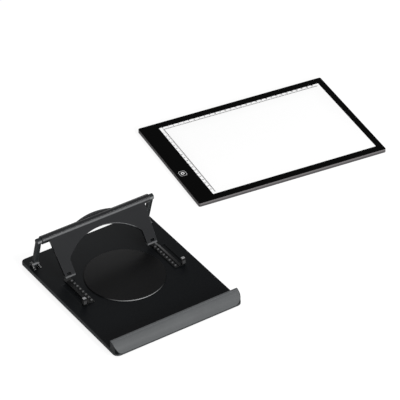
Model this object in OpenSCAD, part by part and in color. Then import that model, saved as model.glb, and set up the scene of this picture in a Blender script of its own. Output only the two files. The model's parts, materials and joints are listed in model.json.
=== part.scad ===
// Tracing light pad with its folding swivel stand.
// Millimetres. The origin is on the table, on the stand's swivel axis. +X runs to the right along the
// stand's front lip, +Y to its rear hinge and +Z up. The light pad lies on the table beside the stand.

/* [Base plate] */
// Width of the base plate
base_w = 240; // [220:1:300]
// Depth of the base plate, front edge to rear edge
base_d = 289; // [270:1:330]
// Distance from the front edge to the swivel axis
front_to_swivel = 161; // [150:1:170]
// Plan radius of the base plate's corners
base_corner_r = 9; // [6:0.5:14]
// Thickness of the plate's top skin
base_skin = 3; // [2.5:0.1:4]
// Height of the skirt that hangs below the skin
skirt_drop = 2.2; // [2:0.1:4]
// Thickness of the skirt and of the lip's walls
skirt_wall = 2.5; // [1.5:0.1:4]
// Chamfer along the plate's top edge
edge_chamfer = 0.8; // [0.3:0.1:1.5]

/* [Front lip] */
// Height of the lip above the plate
lip_h = 16.5; // [10:0.5:24]
// Inset of the lip's ends from the plate's sides
lip_inset = 0.5; // [0:0.5:6]
// Setback of the lip's top edge from the plate's front edge
lip_setback = 14.5; // [10:0.5:18]
// Thickness of the lip at its top
lip_top_t = 3; // [2:0.1:5]
// Radius of the lip's rounded front face
lip_face_r = 28; // [26:1:80]
// Thickness of the grey trim set into the lip's face
trim_t = 1.2; // [0.8:0.1:2]
// Black border left around the grey trim
trim_border = 1; // [0.8:0.1:3]

/* [Turntable] */
// Thickness of the anti-slip sheet
anti_slip_t = 1; // [0.5:0.1:2]
// Radius of the foot disc
foot_disc_r = 68; // [60:1:80]
// Thickness of the foot disc
foot_disc_t = 3; // [2:0.1:5]
// Radius of the hub that the base plate turns on
hub_r = 14; // [10:0.5:18]
// Thickness of the glide ring
glide_t = 0.6; // [0.4:0.1:1.2]
// Height of the track under the skin that runs on the glide ring
track_h = 2.35; // [1.5:0.05:4]
// Radius of the retainer washer
retainer_r = 22; // [20:0.5:28]
// Thickness of the retainer washer
retainer_t = 1.5; // [1:0.1:1.8]
// Radius of the raised cover on top of the plate
cover_r = 67; // [55:1:72]
// Height of the raised cover
cover_h = 1.6; // [1:0.1:2]

/* [Racks] */
// Number of teeth on each rack
tooth_count = 8; // [5:1:9]
// Distance from tooth to tooth
tooth_pitch = 8.5; // [7:0.1:9]
// Height of the teeth above the rack's strip
tooth_h = 2.3; // [1:0.1:3]
// Thickness of the rack's strip
rack_strip_t = 1.2; // [1:0.1:2]
// Height of the catch post above the plate
post_h = 13; // [8:0.5:18]
// Side of the square catch post
post_side = 5.6; // [4:0.1:8]

/* [Hinge links] */
// Distance from the plate's side to the middle of each link
link_inset = 13; // [12.5:0.5:24]
// Width of each link
link_w = 8; // [6:0.5:10]
// Thickness of each link
link_t = 6; // [4:0.5:8]
// Length of each link, lower axis to upper axis
link_len = 57; // [50:0.5:64]
// Forward lean of the links at rest, in degrees
link_lean = 15.5; // [10:0.5:20]
// Distance from the plate's rear edge to the lower hinge axis
hinge_from_rear = 25; // [20:0.5:32]
// Height of the lower hinge axis above the plate
hinge_above = 4; // [3.5:0.1:6]
// Radius of the links' lower knuckle
knuckle_r = 4.5; // [4:0.1:5]
// Radius of the links' upper knuckle
top_knuckle_r = 5; // [4:0.1:6]
// Radius of the lower hinge pins
low_pin_r = 1.5; // [1:0.1:2]
// Radius of the upper hinge pins
top_pin_r = 2; // [1.5:0.1:2.5]
// Thickness of the bracket's ears
ear_t = 2; // [1.5:0.1:3]

/* [Support panel] */
// Length of the panel, bar axis to foot end
panel_len = 72; // [66:0.5:78]
// Thickness of the panel
panel_t = 5; // [4:0.1:6]
// Radius of the top bar
bar_r = 7; // [6:0.1:8]
// Setback of the panel's front face behind the bar's front
face_setback = 0.8; // [0.4:0.1:4]
// Thickness of the panel's skin over the pockets in its back
panel_skin = 2.2; // [1.6:0.1:3]
// Distance from the middle of each link to the panel's side, just below the bar
link_to_leg = 16.5; // [12:0.5:22]
// Amount by which each side of the panel leans in, from the bar to its foot
leg_taper = 3; // [0:0.5:6]
// Width of each foot
foot_w = 18.2; // [14:0.1:22]
// Radius of the arch
arch_r = 91; // [84:0.5:92]
// Distance from the bar axis to the arch's centre
arch_drop = 105; // [104:0.5:112]
// Rise of the finger tab above the bar axis
tab_rise = 11.5; // [9:0.5:18]
// Thickness of the finger tab
tab_t = 4; // [3:0.1:5]
// Backward lean of the finger tab from the panel's face, in degrees
tab_lean = 12; // [0:1:30]

/* [Light pad] */
// Width of the pad
pad_w = 355; // [340:1:380]
// Depth of the pad
pad_d = 240; // [230:1:270]
// Gap between the turning base plate's reach and the pad's nearest corner
pad_gap = 27.6; // [5:0.1:60]
// Direction of that corner from the swivel axis, in degrees from the stand's right
pad_bearing = 24.5; // [0:0.1:35]
// Turn of the pad on the table, in degrees
pad_turn = -7.7; // [-20:0.1:0]
// Corner radius of the pad
pad_corner_r = 3; // [2:0.5:8]
// Thickness of the acrylic top sheet
sheet_t = 3; // [2:0.1:4]
// Height of the back tray
tray_h = 4; // [3.8:0.1:6]
// Thickness of the tray's floor
tray_floor = 1.2; // [0.8:0.1:1.4]
// Thickness of the tray's wall
tray_wall = 2; // [1.5:0.1:3]
// Height of the pad's rubber feet
pad_foot_t = 1; // [0.5:0.1:2]
// Black border on the pad's left side
border_left = 33; // [30:0.5:40]
// Black border on the pad's right side
border_right = 12.5; // [8:0.5:20]
// Black border along the pad's rear edge
border_rear = 15.3; // [10:0.1:20]
// Black border along the pad's front edge
border_front = 14.4; // [10:0.1:20]
// Distance from the pad's left edge to the touch key
key_x = 12.4; // [10:0.1:16]
// Distance from the pad's front edge to the touch key
key_y = 89; // [80:1:140]
// Number of lamps along the light guide
lamp_count = 30; // [12:1:36]

/* [Fits] */
// Radial clearance of a pin or hub that turns
run_gap = 0.05; // [0.02:0.01:0.1]
// Clearance of a piece that is set into another
set_gap = 0.05; // [0.02:0.01:0.1]
// Clearance between pieces that move past each other
move_gap = 0.35; // [0.3:0.05:0.5]

/* [Hidden] */
$fn = 64;
eps = 1;

black = [0.09, 0.09, 0.1];
dark_grey = [0.2, 0.2, 0.22];
mid_grey = [0.4, 0.4, 0.41];
light_grey = [0.6, 0.6, 0.6];
steel = [0.7, 0.7, 0.72];
white = [0.96, 0.96, 0.96];
board_green = [0.1, 0.35, 0.2];

// Heights of the stand
foot_top = anti_slip_t + foot_disc_t;
track_z = foot_top + glide_t + run_gap;
skin_z = track_z + track_h;
plate_top = skin_z + base_skin;
skirt_z = skin_z - skirt_drop;

// Plan of the stand
base_front = -front_to_swivel;
base_rear = base_d - front_to_swivel;
base_mid_y = (base_front + base_rear) / 2;
base_reach = norm([base_w / 2, max(front_to_swivel, base_rear)]);
link_x = base_w / 2 - link_inset;

// Lip profile, in distances behind the front edge and heights above the table
lip_top = plate_top + lip_h;
lip_stop = lip_setback + lip_top_t;
front_land = 1;
face_base = skirt_z + front_land;
face_rise = lip_top - face_base;
face_chord = norm([lip_setback, face_rise]);
face_lean = atan2(face_rise, lip_setback);
face_reach = sqrt(lip_face_r * lip_face_r - face_chord * face_chord / 4);
face_y = lip_setback / 2 + face_reach * sin(face_lean);
face_z = face_base + face_rise / 2 - face_reach * cos(face_lean);
lip_cells = 6;
lip_rib = 1.8;

// Turntable
anti_slip_edge = 6;
glide_edge = 11;
glide_w = 7;
glide_out = foot_disc_r - glide_edge;
glide_in = glide_out - glide_w;
track_lap = 1;
spigot_h = 0.45;
spigot_wall = 1.2;
spigot_z = plate_top - spigot_h;
retainer_top = spigot_z - move_gap;
hub_top = retainer_top - retainer_t;
web_top = hub_top - 2 * run_gap;
web_gap = 0.8;
web_z = foot_top + web_gap;
pocket_room = 2;
boss_wall = 6;
retainer_pocket_r = retainer_r + pocket_room;
boss_r = retainer_pocket_r + boss_wall;
retainer_screw_edge = 5.9;
retainer_screws_r = hub_r - retainer_screw_edge;
retainer_screw_count = 3;
screw_r = 1.25;
screw_head_r = 2.6;
screw_head_t = 1.2;
screw_bite = 2.2;
screw_slack = 0.3;
cover_round = 0.75;
cover_edge_r = cover_h * cover_round;
rib_t = 1.6;
rib_lift = 0.35;
rib_h = track_h - rib_lift;
rib_x = 60;
rib_clear = 12;
rib_y = foot_disc_r + rib_clear;

// Lower hinge
hinge_y = base_rear - hinge_from_rear;
hinge_z = plate_top + hinge_above;
ear_gap = 0.3;
ear_in = link_w / 2 + ear_gap;
ear_out = ear_in + ear_t;
ear_rise = 1;
link_room = 6;
knuckle_room = 1;
well_front = knuckle_r + link_room;
well_rear = knuckle_r + knuckle_room;
flange_lap = 2.5;
flange_front = 7;
flange_t = 1.5;
bracket_z = skin_z - flange_t;
bracket_screw_x = ear_in;
bracket_screw_y = well_front + flange_front / 2;

// Upper hinge and support panel
bar_y = hinge_y - link_len * sin(link_lean);
bar_z = hinge_z + link_len * cos(link_lean);
bar_end_gap = 0.5;
bar_end = link_x - link_w / 2 - bar_end_gap;
leg_top_x = link_x - link_to_leg;
leg_foot_x = leg_top_x - leg_taper;
top_pin_bite = 12;
top_pin_end_gap = 1;
panel_front = bar_r - face_setback;
panel_back = panel_front - panel_t;
tooth_top = plate_top + rack_strip_t + tooth_h;
foot_fall = bar_z - tooth_top - move_gap;
panel_slope = asin(foot_fall / norm([panel_len, panel_back])) + atan2(panel_back, panel_len);
foot_y = bar_y - panel_len * cos(panel_slope);
foot_face_y = foot_y - panel_front * sin(panel_slope);
foot_heel_y = foot_y - panel_back * sin(panel_slope);
leg_gap_x = leg_foot_x - foot_w;
crossbar = 3.4;
foot_window = [7, 5];
toe_angle = 14;
arch_bevel = 0.8;
tab_rim_w = 1.6;
tab_rim_h = 0.6;
pocket_wall = 2.3;
panel_rib_t = 1.8;
panel_rib_step = 24;
panel_rib_pairs = 3;
link_groove_depth = 0.9;
link_groove_edge = 1.6;
link_groove_end = 4;

// Racks
foot_to_rack = 7.5;
rack_x = leg_foot_x - foot_to_rack;
tooth_w = 5;
tooth_crest = 1.4;
tooth_base = 2.9;
strip_out = 9;
strip_in = 3;
ridge_w = 4.5;
ridge_rise = 1.4;
foot_room = 3;
strip_tail = 2.5;
strip_nose = 5.5;
first_tooth_y = foot_face_y - foot_room;
last_tooth_y = first_tooth_y - (tooth_count - 1) * tooth_pitch;
strip_rear = foot_heel_y + strip_tail;
strip_front = last_tooth_y - strip_nose;
post_gap = 2.3;
post_x = rack_x + strip_out + post_gap + post_side / 2;
post_y = strip_front + post_side / 2;
post_nose = 1.3;
nose_h = 4.4;
post_bevel_h = 2.6;
post_bevel_d = 1.6;
trough_w = 7.5;
trough_depth = 1.4;
rack_screw_inset = 12;
rack_screw_y = [strip_front + rack_screw_inset, strip_rear - rack_screw_inset];

// Folded pose, where the bar lies just above the raised cover
fold_clear = 1.4;
fold_bar_z = max(plate_top + cover_h, plate_top + rack_strip_t) + bar_r + fold_clear;
fold_link_lean = acos((fold_bar_z - hinge_z) / link_len);
fold_panel_slope = 5;
link_turn = fold_link_lean - link_lean;
panel_turn = fold_panel_slope - panel_slope - link_turn;
echo(hinge_y = hinge_y, hinge_z = hinge_z, bar_y = bar_y, bar_z = bar_z, panel_slope = panel_slope);
echo(link_turn = link_turn, panel_turn = panel_turn, ratio = panel_turn / link_turn);
echo(foot_y = foot_y, tooth_top = tooth_top, plate_top = plate_top, rack_x = rack_x, post_x = post_x);

// Light pad, in its own frame with the origin under its front left corner
pad_distance = base_reach + pad_gap;
tray_top = pad_foot_t + tray_h;
pad_top = tray_top + sheet_t;
floor_top = pad_foot_t + tray_floor;
mask_t = 0.15;
reflector_t = 0.2;
diffuser_t = 0.3;
mask_z = tray_top - mask_t;
film_gap = 0.15;
diffuser_z = mask_z - film_gap - diffuser_t;
guide_z = floor_top + reflector_t;
guide_lap = 3;
guide_gap = 0.6;
guide_left = border_left - guide_lap;
guide_side = tray_wall + guide_gap;
least_corner_r = 0.5;
lamp_depth = 1;
lamp_board_t = 1;
lamp_size = 2.8;
lamp_x = guide_left - lamp_depth - set_gap;
lamp_h = 1.3;
lamp_row_end = 14;
lamp_board_gap = 0.2;
control_t = 1;
control_w = 15;
control_reach = 26;
control_front = key_y - control_reach;
socket_w = 7.6;
socket_h = 2.5;
socket_len = 6.5;
socket_wall = 0.35;
socket_back = 1;
socket_tongue_edge = 1.6;
socket_tongue = 0.6;
socket_headroom = 0.15;
socket_z = min(floor_top, mask_z - socket_headroom - socket_h);
socket_shift = 3;
socket_x = key_x + socket_shift;
control_gap = 0.3;
control_rear = pad_d - socket_len - control_gap;
chip = [6, 6, 0.9];
chip_y = 20;
coil = [4, 4, 1.2];
coil_y = 40;
resistor = [1.6, 3, 0.7];
resistor_y = 52;
resistor_step = 3;
resistor_count = 4;
sensor_r = 5;
pad_foot_r = 6;
pad_foot_inset = 16;
sheet_chamfer = 0.4;

// Shared shapes

module round_rect(w, d, r) {
    square([w - 2 * r, d], center = true);
    square([w, d - 2 * r], center = true);
    for (x = [-1, 1], y = [-1, 1])
        translate([x * (w / 2 - r), y * (d / 2 - r)]) circle(r);
}

// Slab with rounded corners and a chamfered top edge, standing on z = 0
module chamfered_slab(w, d, h, r, chamfer) {
    linear_extrude(h - chamfer) round_rect(w, d, r);
    translate([0, 0, h - chamfer]) {
        rotate([90, 0, 90]) translate([0, 0, r - w / 2]) linear_extrude(w - 2 * r) bevel_section(d, chamfer);
        rotate([90, 0, 180]) translate([0, 0, r - d / 2]) linear_extrude(d - 2 * r) bevel_section(w, chamfer);
        for (x = [-1, 1], y = [-1, 1])
            translate([x * (w / 2 - r), y * (d / 2 - r), 0]) cylinder(r1 = r, r2 = r - chamfer, h = chamfer);
    }
}

module bevel_section(w, chamfer) {
    polygon([[-w / 2, 0], [w / 2, 0], [w / 2 - chamfer, chamfer], [chamfer - w / 2, chamfer]]);
}

module ring(r_out, r_in, h) {
    difference() {
        cylinder(r = r_out, h = h);
        translate([0, 0, -eps]) cylinder(r = r_in, h = h + 2 * eps);
    }
}

module x_cylinder(r, len) {
    rotate([0, 90, 0]) cylinder(r = r, h = len, center = true);
}

// Extrudes a profile of distances to the rear and heights along X, centred on x = 0
module along_x(len) {
    rotate([90, 0, 90]) translate([0, 0, -len / 2]) linear_extrude(len) children();
}

module on_both_sides() {
    children();
    mirror([1, 0, 0]) children();
}

// Pan-head screw driven upwards, with its head's underside at z = 0
module screw_from_below(bite) {
    translate([0, 0, -screw_head_t]) cylinder(r = screw_head_r, h = screw_head_t);
    cylinder(r = screw_r, h = bite);
}

// Turntable under the stand

module turntable_foot() color(black) difference() {
    union() {
        translate([0, 0, anti_slip_t]) cylinder(r = foot_disc_r, h = foot_disc_t);
        cylinder(r = hub_r, h = hub_top);
    }
    translate([0, 0, -eps]) cylinder(r = hub_r + eps, h = anti_slip_t + eps);
    at_retainer_screws() translate([0, 0, -screw_bite - screw_slack])
        cylinder(r = screw_r + set_gap, h = screw_bite + screw_slack + eps);
}

module anti_slip_sheet() color(dark_grey) cylinder(r = foot_disc_r - anti_slip_edge, h = anti_slip_t);

module glide_ring() color(white) translate([0, 0, foot_top]) ring(glide_out, glide_in, glide_t);

module at_retainer_screws() {
    for (i = [0 : retainer_screw_count - 1])
        rotate(i * 360 / retainer_screw_count) translate([retainer_screws_r, 0, hub_top]) children();
}

module sunk_head(gap) {
    cylinder(r1 = screw_r + gap, r2 = screw_head_r + gap, h = retainer_t);
}

module hub_retainer() color(steel) difference() {
    translate([0, 0, hub_top]) cylinder(r = retainer_r, h = retainer_t);
    at_retainer_screws() sunk_head(set_gap);
}

module retainer_screws() color(steel) at_retainer_screws() {
    sunk_head(0);
    translate([0, 0, -screw_bite]) cylinder(r = screw_r, h = screw_bite);
}

// Base plate

module base_plan(inset) {
    translate([0, base_mid_y]) round_rect(base_w - 2 * inset, base_d - 2 * inset, base_corner_r - inset);
}

module base_shell() {
    difference() {
        translate([0, base_mid_y, skirt_z])
            chamfered_slab(base_w, base_d, plate_top - skirt_z, base_corner_r, edge_chamfer);
        translate([0, 0, skirt_z - eps]) linear_extrude(skirt_drop + eps) base_plan(skirt_wall);
    }
}

module underside_ribs() {
    span_x = base_w - 2 * skirt_wall;
    span_y = base_d - 2 * skirt_wall;
    for (y = [-rib_y, rib_y])
        translate([-span_x / 2, y - rib_t / 2, skin_z - rib_h]) cube([span_x, rib_t, rib_h]);
    for (x = [-rib_x, rib_x])
        translate([x - rib_t / 2, base_mid_y - span_y / 2, skin_z - rib_h]) cube([rib_t, span_y, rib_h]);
}

module face_circle(shrink) {
    translate([face_y, face_z]) circle(lip_face_r - shrink, $fn = 128);
}

// Plan that rounds the lip's ends, drawn in from the plate's sides alone
module lip_plan(inset) {
    translate([0, base_mid_y]) round_rect(base_w - 2 * inset, base_d, base_corner_r);
}

// Upright block of the lip, before its front is rounded
module lip_block() {
    translate([0, 0, skirt_z]) linear_extrude(lip_top - skirt_z) intersection() {
        lip_plan(lip_inset);
        translate([-base_w / 2, base_front]) square([base_w, lip_stop]);
    }
}

// The space in front of the rounded face, which trims the block and the plate's front edge
module face_trim() {
    translate([0, base_front, 0]) along_x(base_w + 2 * eps) difference() {
        translate([-eps, skirt_z]) square([lip_setback + eps, lip_top - skirt_z + eps]);
        face_circle(0);
    }
}

// Hollow under the lip, split by ribs
module lip_hollow() {
    cell = (base_w - 2 * base_corner_r) / lip_cells;
    for (i = [0 : lip_cells - 1])
        translate([(i + 0.5 - lip_cells / 2) * cell, base_front, 0]) along_x(cell - lip_rib) intersection() {
            face_circle(trim_t + skirt_wall);
            translate([skirt_wall + trim_t, skirt_z - eps])
                square([lip_stop - 2 * skirt_wall - trim_t, lip_top - lip_top_t - skirt_wall - skirt_z]);
        }
}

// Band of the lip's face that holds the trim, from the trim's inner side outwards
module trim_band(grow) {
    low = skirt_z + trim_border - grow;
    high = lip_top - trim_border + grow;
    intersection() {
        translate([0, base_front, 0]) along_x(base_w) difference() {
            translate([-eps, low]) square([lip_stop, high - low]);
            face_circle(trim_t + grow);
        }
        linear_extrude(lip_top) lip_plan(lip_inset + trim_border - grow);
    }
}

module lip_trim() color(mid_grey) intersection() {
    trim_band(0);
    translate([0, base_front, 0]) along_x(base_w) face_circle(0);
}

module rack_trough() {
    front = strip_front + post_side;
    translate([-post_x - trough_w / 2, front, plate_top - trough_depth])
        cube([trough_w, first_tooth_y - front, trough_depth + eps]);
}

// Seat for the hinge bracket's flange under the skin, with the well that its ears stand in
module bracket_seat() {
    half_w = ear_out + set_gap;
    seat_w = half_w + flange_lap;
    front = hinge_y - well_front - set_gap;
    length = well_front + well_rear + 2 * set_gap;
    translate([-link_x - half_w, front, skin_z - eps]) cube([2 * half_w, length, base_skin + 2 * eps]);
    translate([-link_x - seat_w, front - flange_front, skin_z - rib_h - eps])
        cube([2 * seat_w, flange_front + length + flange_lap, rib_h + eps]);
}

module base_plate() color(black) difference() {
    union() {
        base_shell();
        underside_ribs();
        lip_block();
        translate([0, 0, track_z]) ring(glide_out + track_lap, glide_in - track_lap, track_h + eps);
        translate([0, 0, web_z]) cylinder(r = boss_r, h = plate_top - web_z);
    }
    face_trim();
    lip_hollow();
    trim_band(set_gap);
    translate([0, 0, web_z - eps]) cylinder(r = hub_r + run_gap, h = plate_top);
    translate([0, 0, web_top]) cylinder(r = retainer_pocket_r, h = plate_top);
    on_both_sides() {
        rack_trough();
        bracket_seat();
        at_rack_screws() translate([0, 0, -eps]) cylinder(r = screw_r + set_gap, h = base_skin + 2 * eps);
        at_bracket_screws() cylinder(r = screw_r + set_gap, h = flange_t + screw_bite);
    }
}

module turntable_cover() color(black) translate([0, 0, plate_top]) {
    rotate_extrude($fn = 128) {
        square([cover_r - cover_edge_r, cover_h]);
        square([cover_r, cover_h - cover_edge_r]);
        translate([cover_r - cover_edge_r, cover_h - cover_edge_r]) intersection() {
            circle(cover_edge_r);
            square(cover_edge_r);
        }
    }
    translate([0, 0, spigot_z - plate_top])
        ring(retainer_pocket_r - set_gap, retainer_pocket_r - spigot_wall, plate_top - spigot_z);
}

// Racks that hold the panel's feet, drawn for the left side

module tooth_section() {
    polygon([[0, 0], [0, tooth_h], [-tooth_crest, tooth_h], [-tooth_base, 0]]);
}

// Nose at the top of the catch post, which clips over the folded leg
module catch_nose_section() {
    side = post_side / 2;
    polygon([[0, 0], [side, 0], [side + post_nose, -nose_h / 2], [side, -nose_h], [0, -nose_h]]);
}

// Slope cut on the catch post's front, below its top edge
module post_bevel() along_x(post_side + 2 * (post_nose + eps)) polygon([
    [0, -post_bevel_h], [post_bevel_d, 0], [post_bevel_d, eps], [-eps, eps], [-eps, -post_bevel_h]
]);

module at_rack_screws() {
    for (y = rack_screw_y)
        translate([-rack_x - strip_out + ridge_w / 2, y, skin_z]) children();
}

module rack() difference() {
    union() {
        translate([-rack_x - strip_out, strip_front, plate_top])
            cube([strip_out + strip_in, strip_rear - strip_front, rack_strip_t]);
        translate([-rack_x - strip_out, strip_front, plate_top])
            cube([ridge_w, first_tooth_y - strip_front, rack_strip_t + ridge_rise]);
        for (i = [0 : tooth_count - 1])
            translate([-rack_x, first_tooth_y - i * tooth_pitch, plate_top + rack_strip_t])
                along_x(tooth_w) tooth_section();
        translate([-post_x - post_side / 2, strip_front, plate_top])
            cube([post_x + post_side / 2 - rack_x, post_side, rack_strip_t]);
        translate([-post_x - post_side / 2, post_y - post_side / 2, plate_top])
            cube([post_side, post_side, post_h]);
        translate([-post_x, post_y, plate_top + post_h]) rotate([90, 0, 0])
            linear_extrude(post_side, center = true) catch_nose_section();
    }
    translate([-post_x, strip_front, plate_top + post_h]) post_bevel();
    at_rack_screws() cylinder(r = screw_r + set_gap, h = base_skin + screw_bite);
}

module rack_left() color(black) rack();

module rack_right() color(black) mirror([1, 0, 0]) rack();

module rack_screws() color(steel) on_both_sides()
    at_rack_screws() screw_from_below(base_skin + screw_bite - screw_slack);

// Hinge brackets in wells at the rear corners, drawn for the left side

module at_bracket_screws() {
    for (x = [-1, 1])
        translate([x * bracket_screw_x - link_x, hinge_y - bracket_screw_y, bracket_z]) children();
}

module hinge_bracket() difference() {
    union() {
        translate([-link_x - ear_out - flange_lap, hinge_y - well_front - flange_front, bracket_z])
            cube([2 * (ear_out + flange_lap), flange_front + well_front + well_rear + flange_lap, flange_t]);
        for (x = [-1, 1]) translate([-link_x + x * (ear_in + ear_t / 2), hinge_y, 0]) {
            translate([-ear_t / 2, -well_front, skin_z]) cube([ear_t, well_front + well_rear, base_skin + ear_rise]);
            translate([-ear_t / 2, -knuckle_r, skin_z]) cube([ear_t, 2 * knuckle_r, hinge_z - skin_z]);
            translate([0, 0, hinge_z]) x_cylinder(knuckle_r, ear_t);
        }
    }
    translate([-link_x, hinge_y, hinge_z]) x_cylinder(low_pin_r + set_gap, 2 * ear_out + 2 * eps);
    at_bracket_screws() translate([0, 0, -eps]) cylinder(r = screw_r + set_gap, h = flange_t + 2 * eps);
}

module hinge_bracket_left() color(black) hinge_bracket();

module hinge_bracket_right() color(black) mirror([1, 0, 0]) hinge_bracket();

module bracket_screws() color(steel) on_both_sides()
    at_bracket_screws() screw_from_below(flange_t + screw_bite - screw_slack);

module lower_hinge_pins() color(steel) on_both_sides()
    translate([-link_x, hinge_y, hinge_z]) x_cylinder(low_pin_r, 2 * ear_out);

// Links, drawn for the left side with the local Z along the link

module at_link() {
    translate([-link_x, hinge_y, hinge_z]) rotate([link_lean, 0, 0]) children();
}

module link() at_link() difference() {
    union() {
        x_cylinder(knuckle_r, link_w);
        translate([0, 0, link_len]) x_cylinder(top_knuckle_r, link_w);
        translate([-link_w / 2, -link_t / 2, 0]) cube([link_w, link_t, link_len]);
    }
    translate([link_groove_edge - link_w / 2, -link_t / 2 - eps, knuckle_r + link_groove_end])
        cube([
            link_w - 2 * link_groove_edge,
            eps + link_groove_depth,
            link_len - knuckle_r - top_knuckle_r - 2 * link_groove_end
        ]);
    x_cylinder(low_pin_r + run_gap, link_w + 2 * eps);
    translate([0, 0, link_len]) x_cylinder(top_pin_r + set_gap, link_w + 2 * eps);
}

module link_left() color(black) link();

module link_right() color(black) mirror([1, 0, 0]) link();

module upper_hinge_pins() color(steel) on_both_sides() at_link()
    translate([top_pin_bite / 2, 0, link_len]) x_cylinder(top_pin_r, link_w + top_pin_bite);

// Arched support panel, drawn flat with the bar along X and then tilted at the bar

module panel_plan() {
    difference() {
        polygon([
            [-leg_top_x, 0], [leg_top_x, 0], [leg_foot_x, -panel_len], [leg_gap_x, -panel_len],
            [-leg_gap_x, -panel_len], [-leg_foot_x, -panel_len]
        ]);
        intersection() {
            translate([0, -arch_drop]) circle(arch_r, $fn = 128);
            translate([-leg_gap_x, -panel_len - eps]) square([2 * leg_gap_x, panel_len]);
        }
        for (x = [-1, 1])
            translate([x * rack_x - foot_window[0] / 2, crossbar - panel_len]) square(foot_window);
    }
}

// Pockets in the panel's back, inside a wall that follows its outline, with upright ribs between them
module pocket_plan() difference() {
    top = -bar_r - pocket_wall;
    bottom = crossbar + foot_window[1] + pocket_wall - panel_len;
    polygon([
        [pocket_wall - leg_top_x, top], [leg_top_x - pocket_wall, top],
        [leg_foot_x - pocket_wall, bottom], [pocket_wall - leg_foot_x, bottom]
    ]);
    intersection() {
        translate([0, -arch_drop]) circle(arch_r + pocket_wall, $fn = 128);
        translate([-leg_gap_x - pocket_wall, -panel_len]) square([2 * (leg_gap_x + pocket_wall), panel_len]);
    }
    for (i = [-panel_rib_pairs : panel_rib_pairs])
        translate([i * panel_rib_step - panel_rib_t / 2, -panel_len]) square([panel_rib_t, panel_len]);
}

// Bevel along the arch's front edge
module arch_edge() intersection() {
    translate([0, -arch_drop, panel_front - arch_bevel - eps])
        cylinder(r1 = arch_r - eps, r2 = arch_r + arch_bevel + eps, h = arch_bevel + 2 * eps, $fn = 128);
    translate([arch_bevel - leg_gap_x, -panel_len, panel_front - arch_bevel - eps])
        cube([2 * (leg_gap_x - arch_bevel), panel_len, arch_bevel + 2 * eps]);
}

// Slope cut on the front of each foot, below its window
module foot_toes() along_x(2 * leg_top_x) polygon([
    [crossbar - panel_len, panel_front],
    [-panel_len - eps, panel_front - (crossbar + eps) * tan(toe_angle)],
    [-panel_len - eps, panel_front + eps],
    [crossbar - panel_len, panel_front + eps]
]);

module tab_plan() intersection() {
    translate([0, -arch_drop]) circle(arch_drop + tab_rise, $fn = 128);
    translate([-arch_r, 0]) square([2 * arch_r, tab_rise + eps]);
}

// Finger tab behind the bar, with a raised rim along its curved edge
module finger_tab() rotate([-tab_lean, 0, 0]) {
    linear_extrude(tab_t, center = true) tab_plan();
    linear_extrude(tab_t / 2 + tab_rim_h) difference() {
        tab_plan();
        translate([0, -arch_drop]) circle(arch_drop + tab_rise - tab_rim_w, $fn = 128);
    }
}

module at_bar() translate([0, bar_y, bar_z]) rotate([panel_slope, 0, 0]) children();

module support_panel() color(dark_grey) at_bar() difference() {
    union() {
        translate([0, 0, panel_back]) linear_extrude(panel_t) panel_plan();
        x_cylinder(bar_r, 2 * bar_end);
        finger_tab();
    }
    translate([0, 0, panel_back - eps]) linear_extrude(panel_t - panel_skin + eps) pocket_plan();
    arch_edge();
    foot_toes();
    for (x = [-1, 1])
        translate([x * bar_end, 0, 0]) x_cylinder(top_pin_r + run_gap, 2 * (top_pin_bite + top_pin_end_gap));
}

// Light pad, each piece in the pad's own frame

module at_pad() {
    rotate(pad_bearing) translate([pad_distance, 0, 0]) rotate(pad_turn - pad_bearing) children();
}

module pad_slab(inset, z, h) {
    translate([pad_w / 2, pad_d / 2, z]) linear_extrude(h)
        round_rect(pad_w - 2 * inset, pad_d - 2 * inset, max(pad_corner_r - inset, least_corner_r));
}

module back_tray() color(dark_grey) at_pad() difference() {
    pad_slab(0, pad_foot_t, tray_h);
    pad_slab(tray_wall, floor_top, tray_h);
    translate([socket_x - socket_w / 2 - set_gap, pad_d - socket_len - set_gap, socket_z])
        cube([socket_w + 2 * set_gap, socket_len + eps, socket_h + set_gap]);
}

module top_sheet() color(light_grey) at_pad() translate([pad_w / 2, pad_d / 2, tray_top])
    chamfered_slab(pad_w, pad_d, sheet_t, pad_corner_r, sheet_chamfer);

module border_mask() color(black) at_pad() difference() {
    pad_slab(tray_wall + set_gap, mask_z, mask_t);
    translate([border_left, border_front, mask_z - eps])
        cube([pad_w - border_left - border_right, pad_d - border_front - border_rear, mask_t + 2 * eps]);
}

// Flat layer of the light stack, from the guide's lit edge to the tray's walls
module light_layer(z, h) {
    w = pad_w - guide_left - guide_side;
    d = pad_d - 2 * guide_side;
    translate([guide_left + w / 2, pad_d / 2, z]) linear_extrude(h)
        round_rect(w, d, max(pad_corner_r - guide_side, least_corner_r));
}

module diffuser_sheet() color(white) at_pad() light_layer(diffuser_z, diffuser_t);

module light_guide() color(white) at_pad() light_layer(guide_z, diffuser_z - guide_z);

module reflector_sheet() color(white) at_pad() light_layer(floor_top, reflector_t);

module lamp_board() color(white) at_pad()
    translate([lamp_x - lamp_board_t, guide_side, floor_top])
        cube([lamp_board_t, pad_d - 2 * guide_side, mask_z - floor_top - lamp_board_gap]);

module lamps() color("gold") at_pad() {
    step = (pad_d - 2 * guide_side - 2 * lamp_row_end) / (lamp_count - 1);
    for (i = [0 : lamp_count - 1])
        translate([lamp_x, guide_side + lamp_row_end + i * step - lamp_size / 2, guide_z])
            cube([lamp_depth, lamp_size, lamp_h]);
}

module control_board() color(board_green) at_pad()
    translate([key_x - control_w / 2, control_front, floor_top])
        cube([control_w, control_rear - control_front, control_t]);

module board_parts() color(black) at_pad() translate([key_x, key_y, floor_top + control_t]) {
    translate([-chip[0] / 2, chip_y, 0]) cube(chip);
    translate([-coil[0] / 2, coil_y, 0]) cube(coil);
    for (i = [0 : resistor_count - 1])
        translate([(i - (resistor_count - 1) / 2) * resistor_step - resistor[0] / 2, resistor_y, 0])
            cube(resistor);
}

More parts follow.
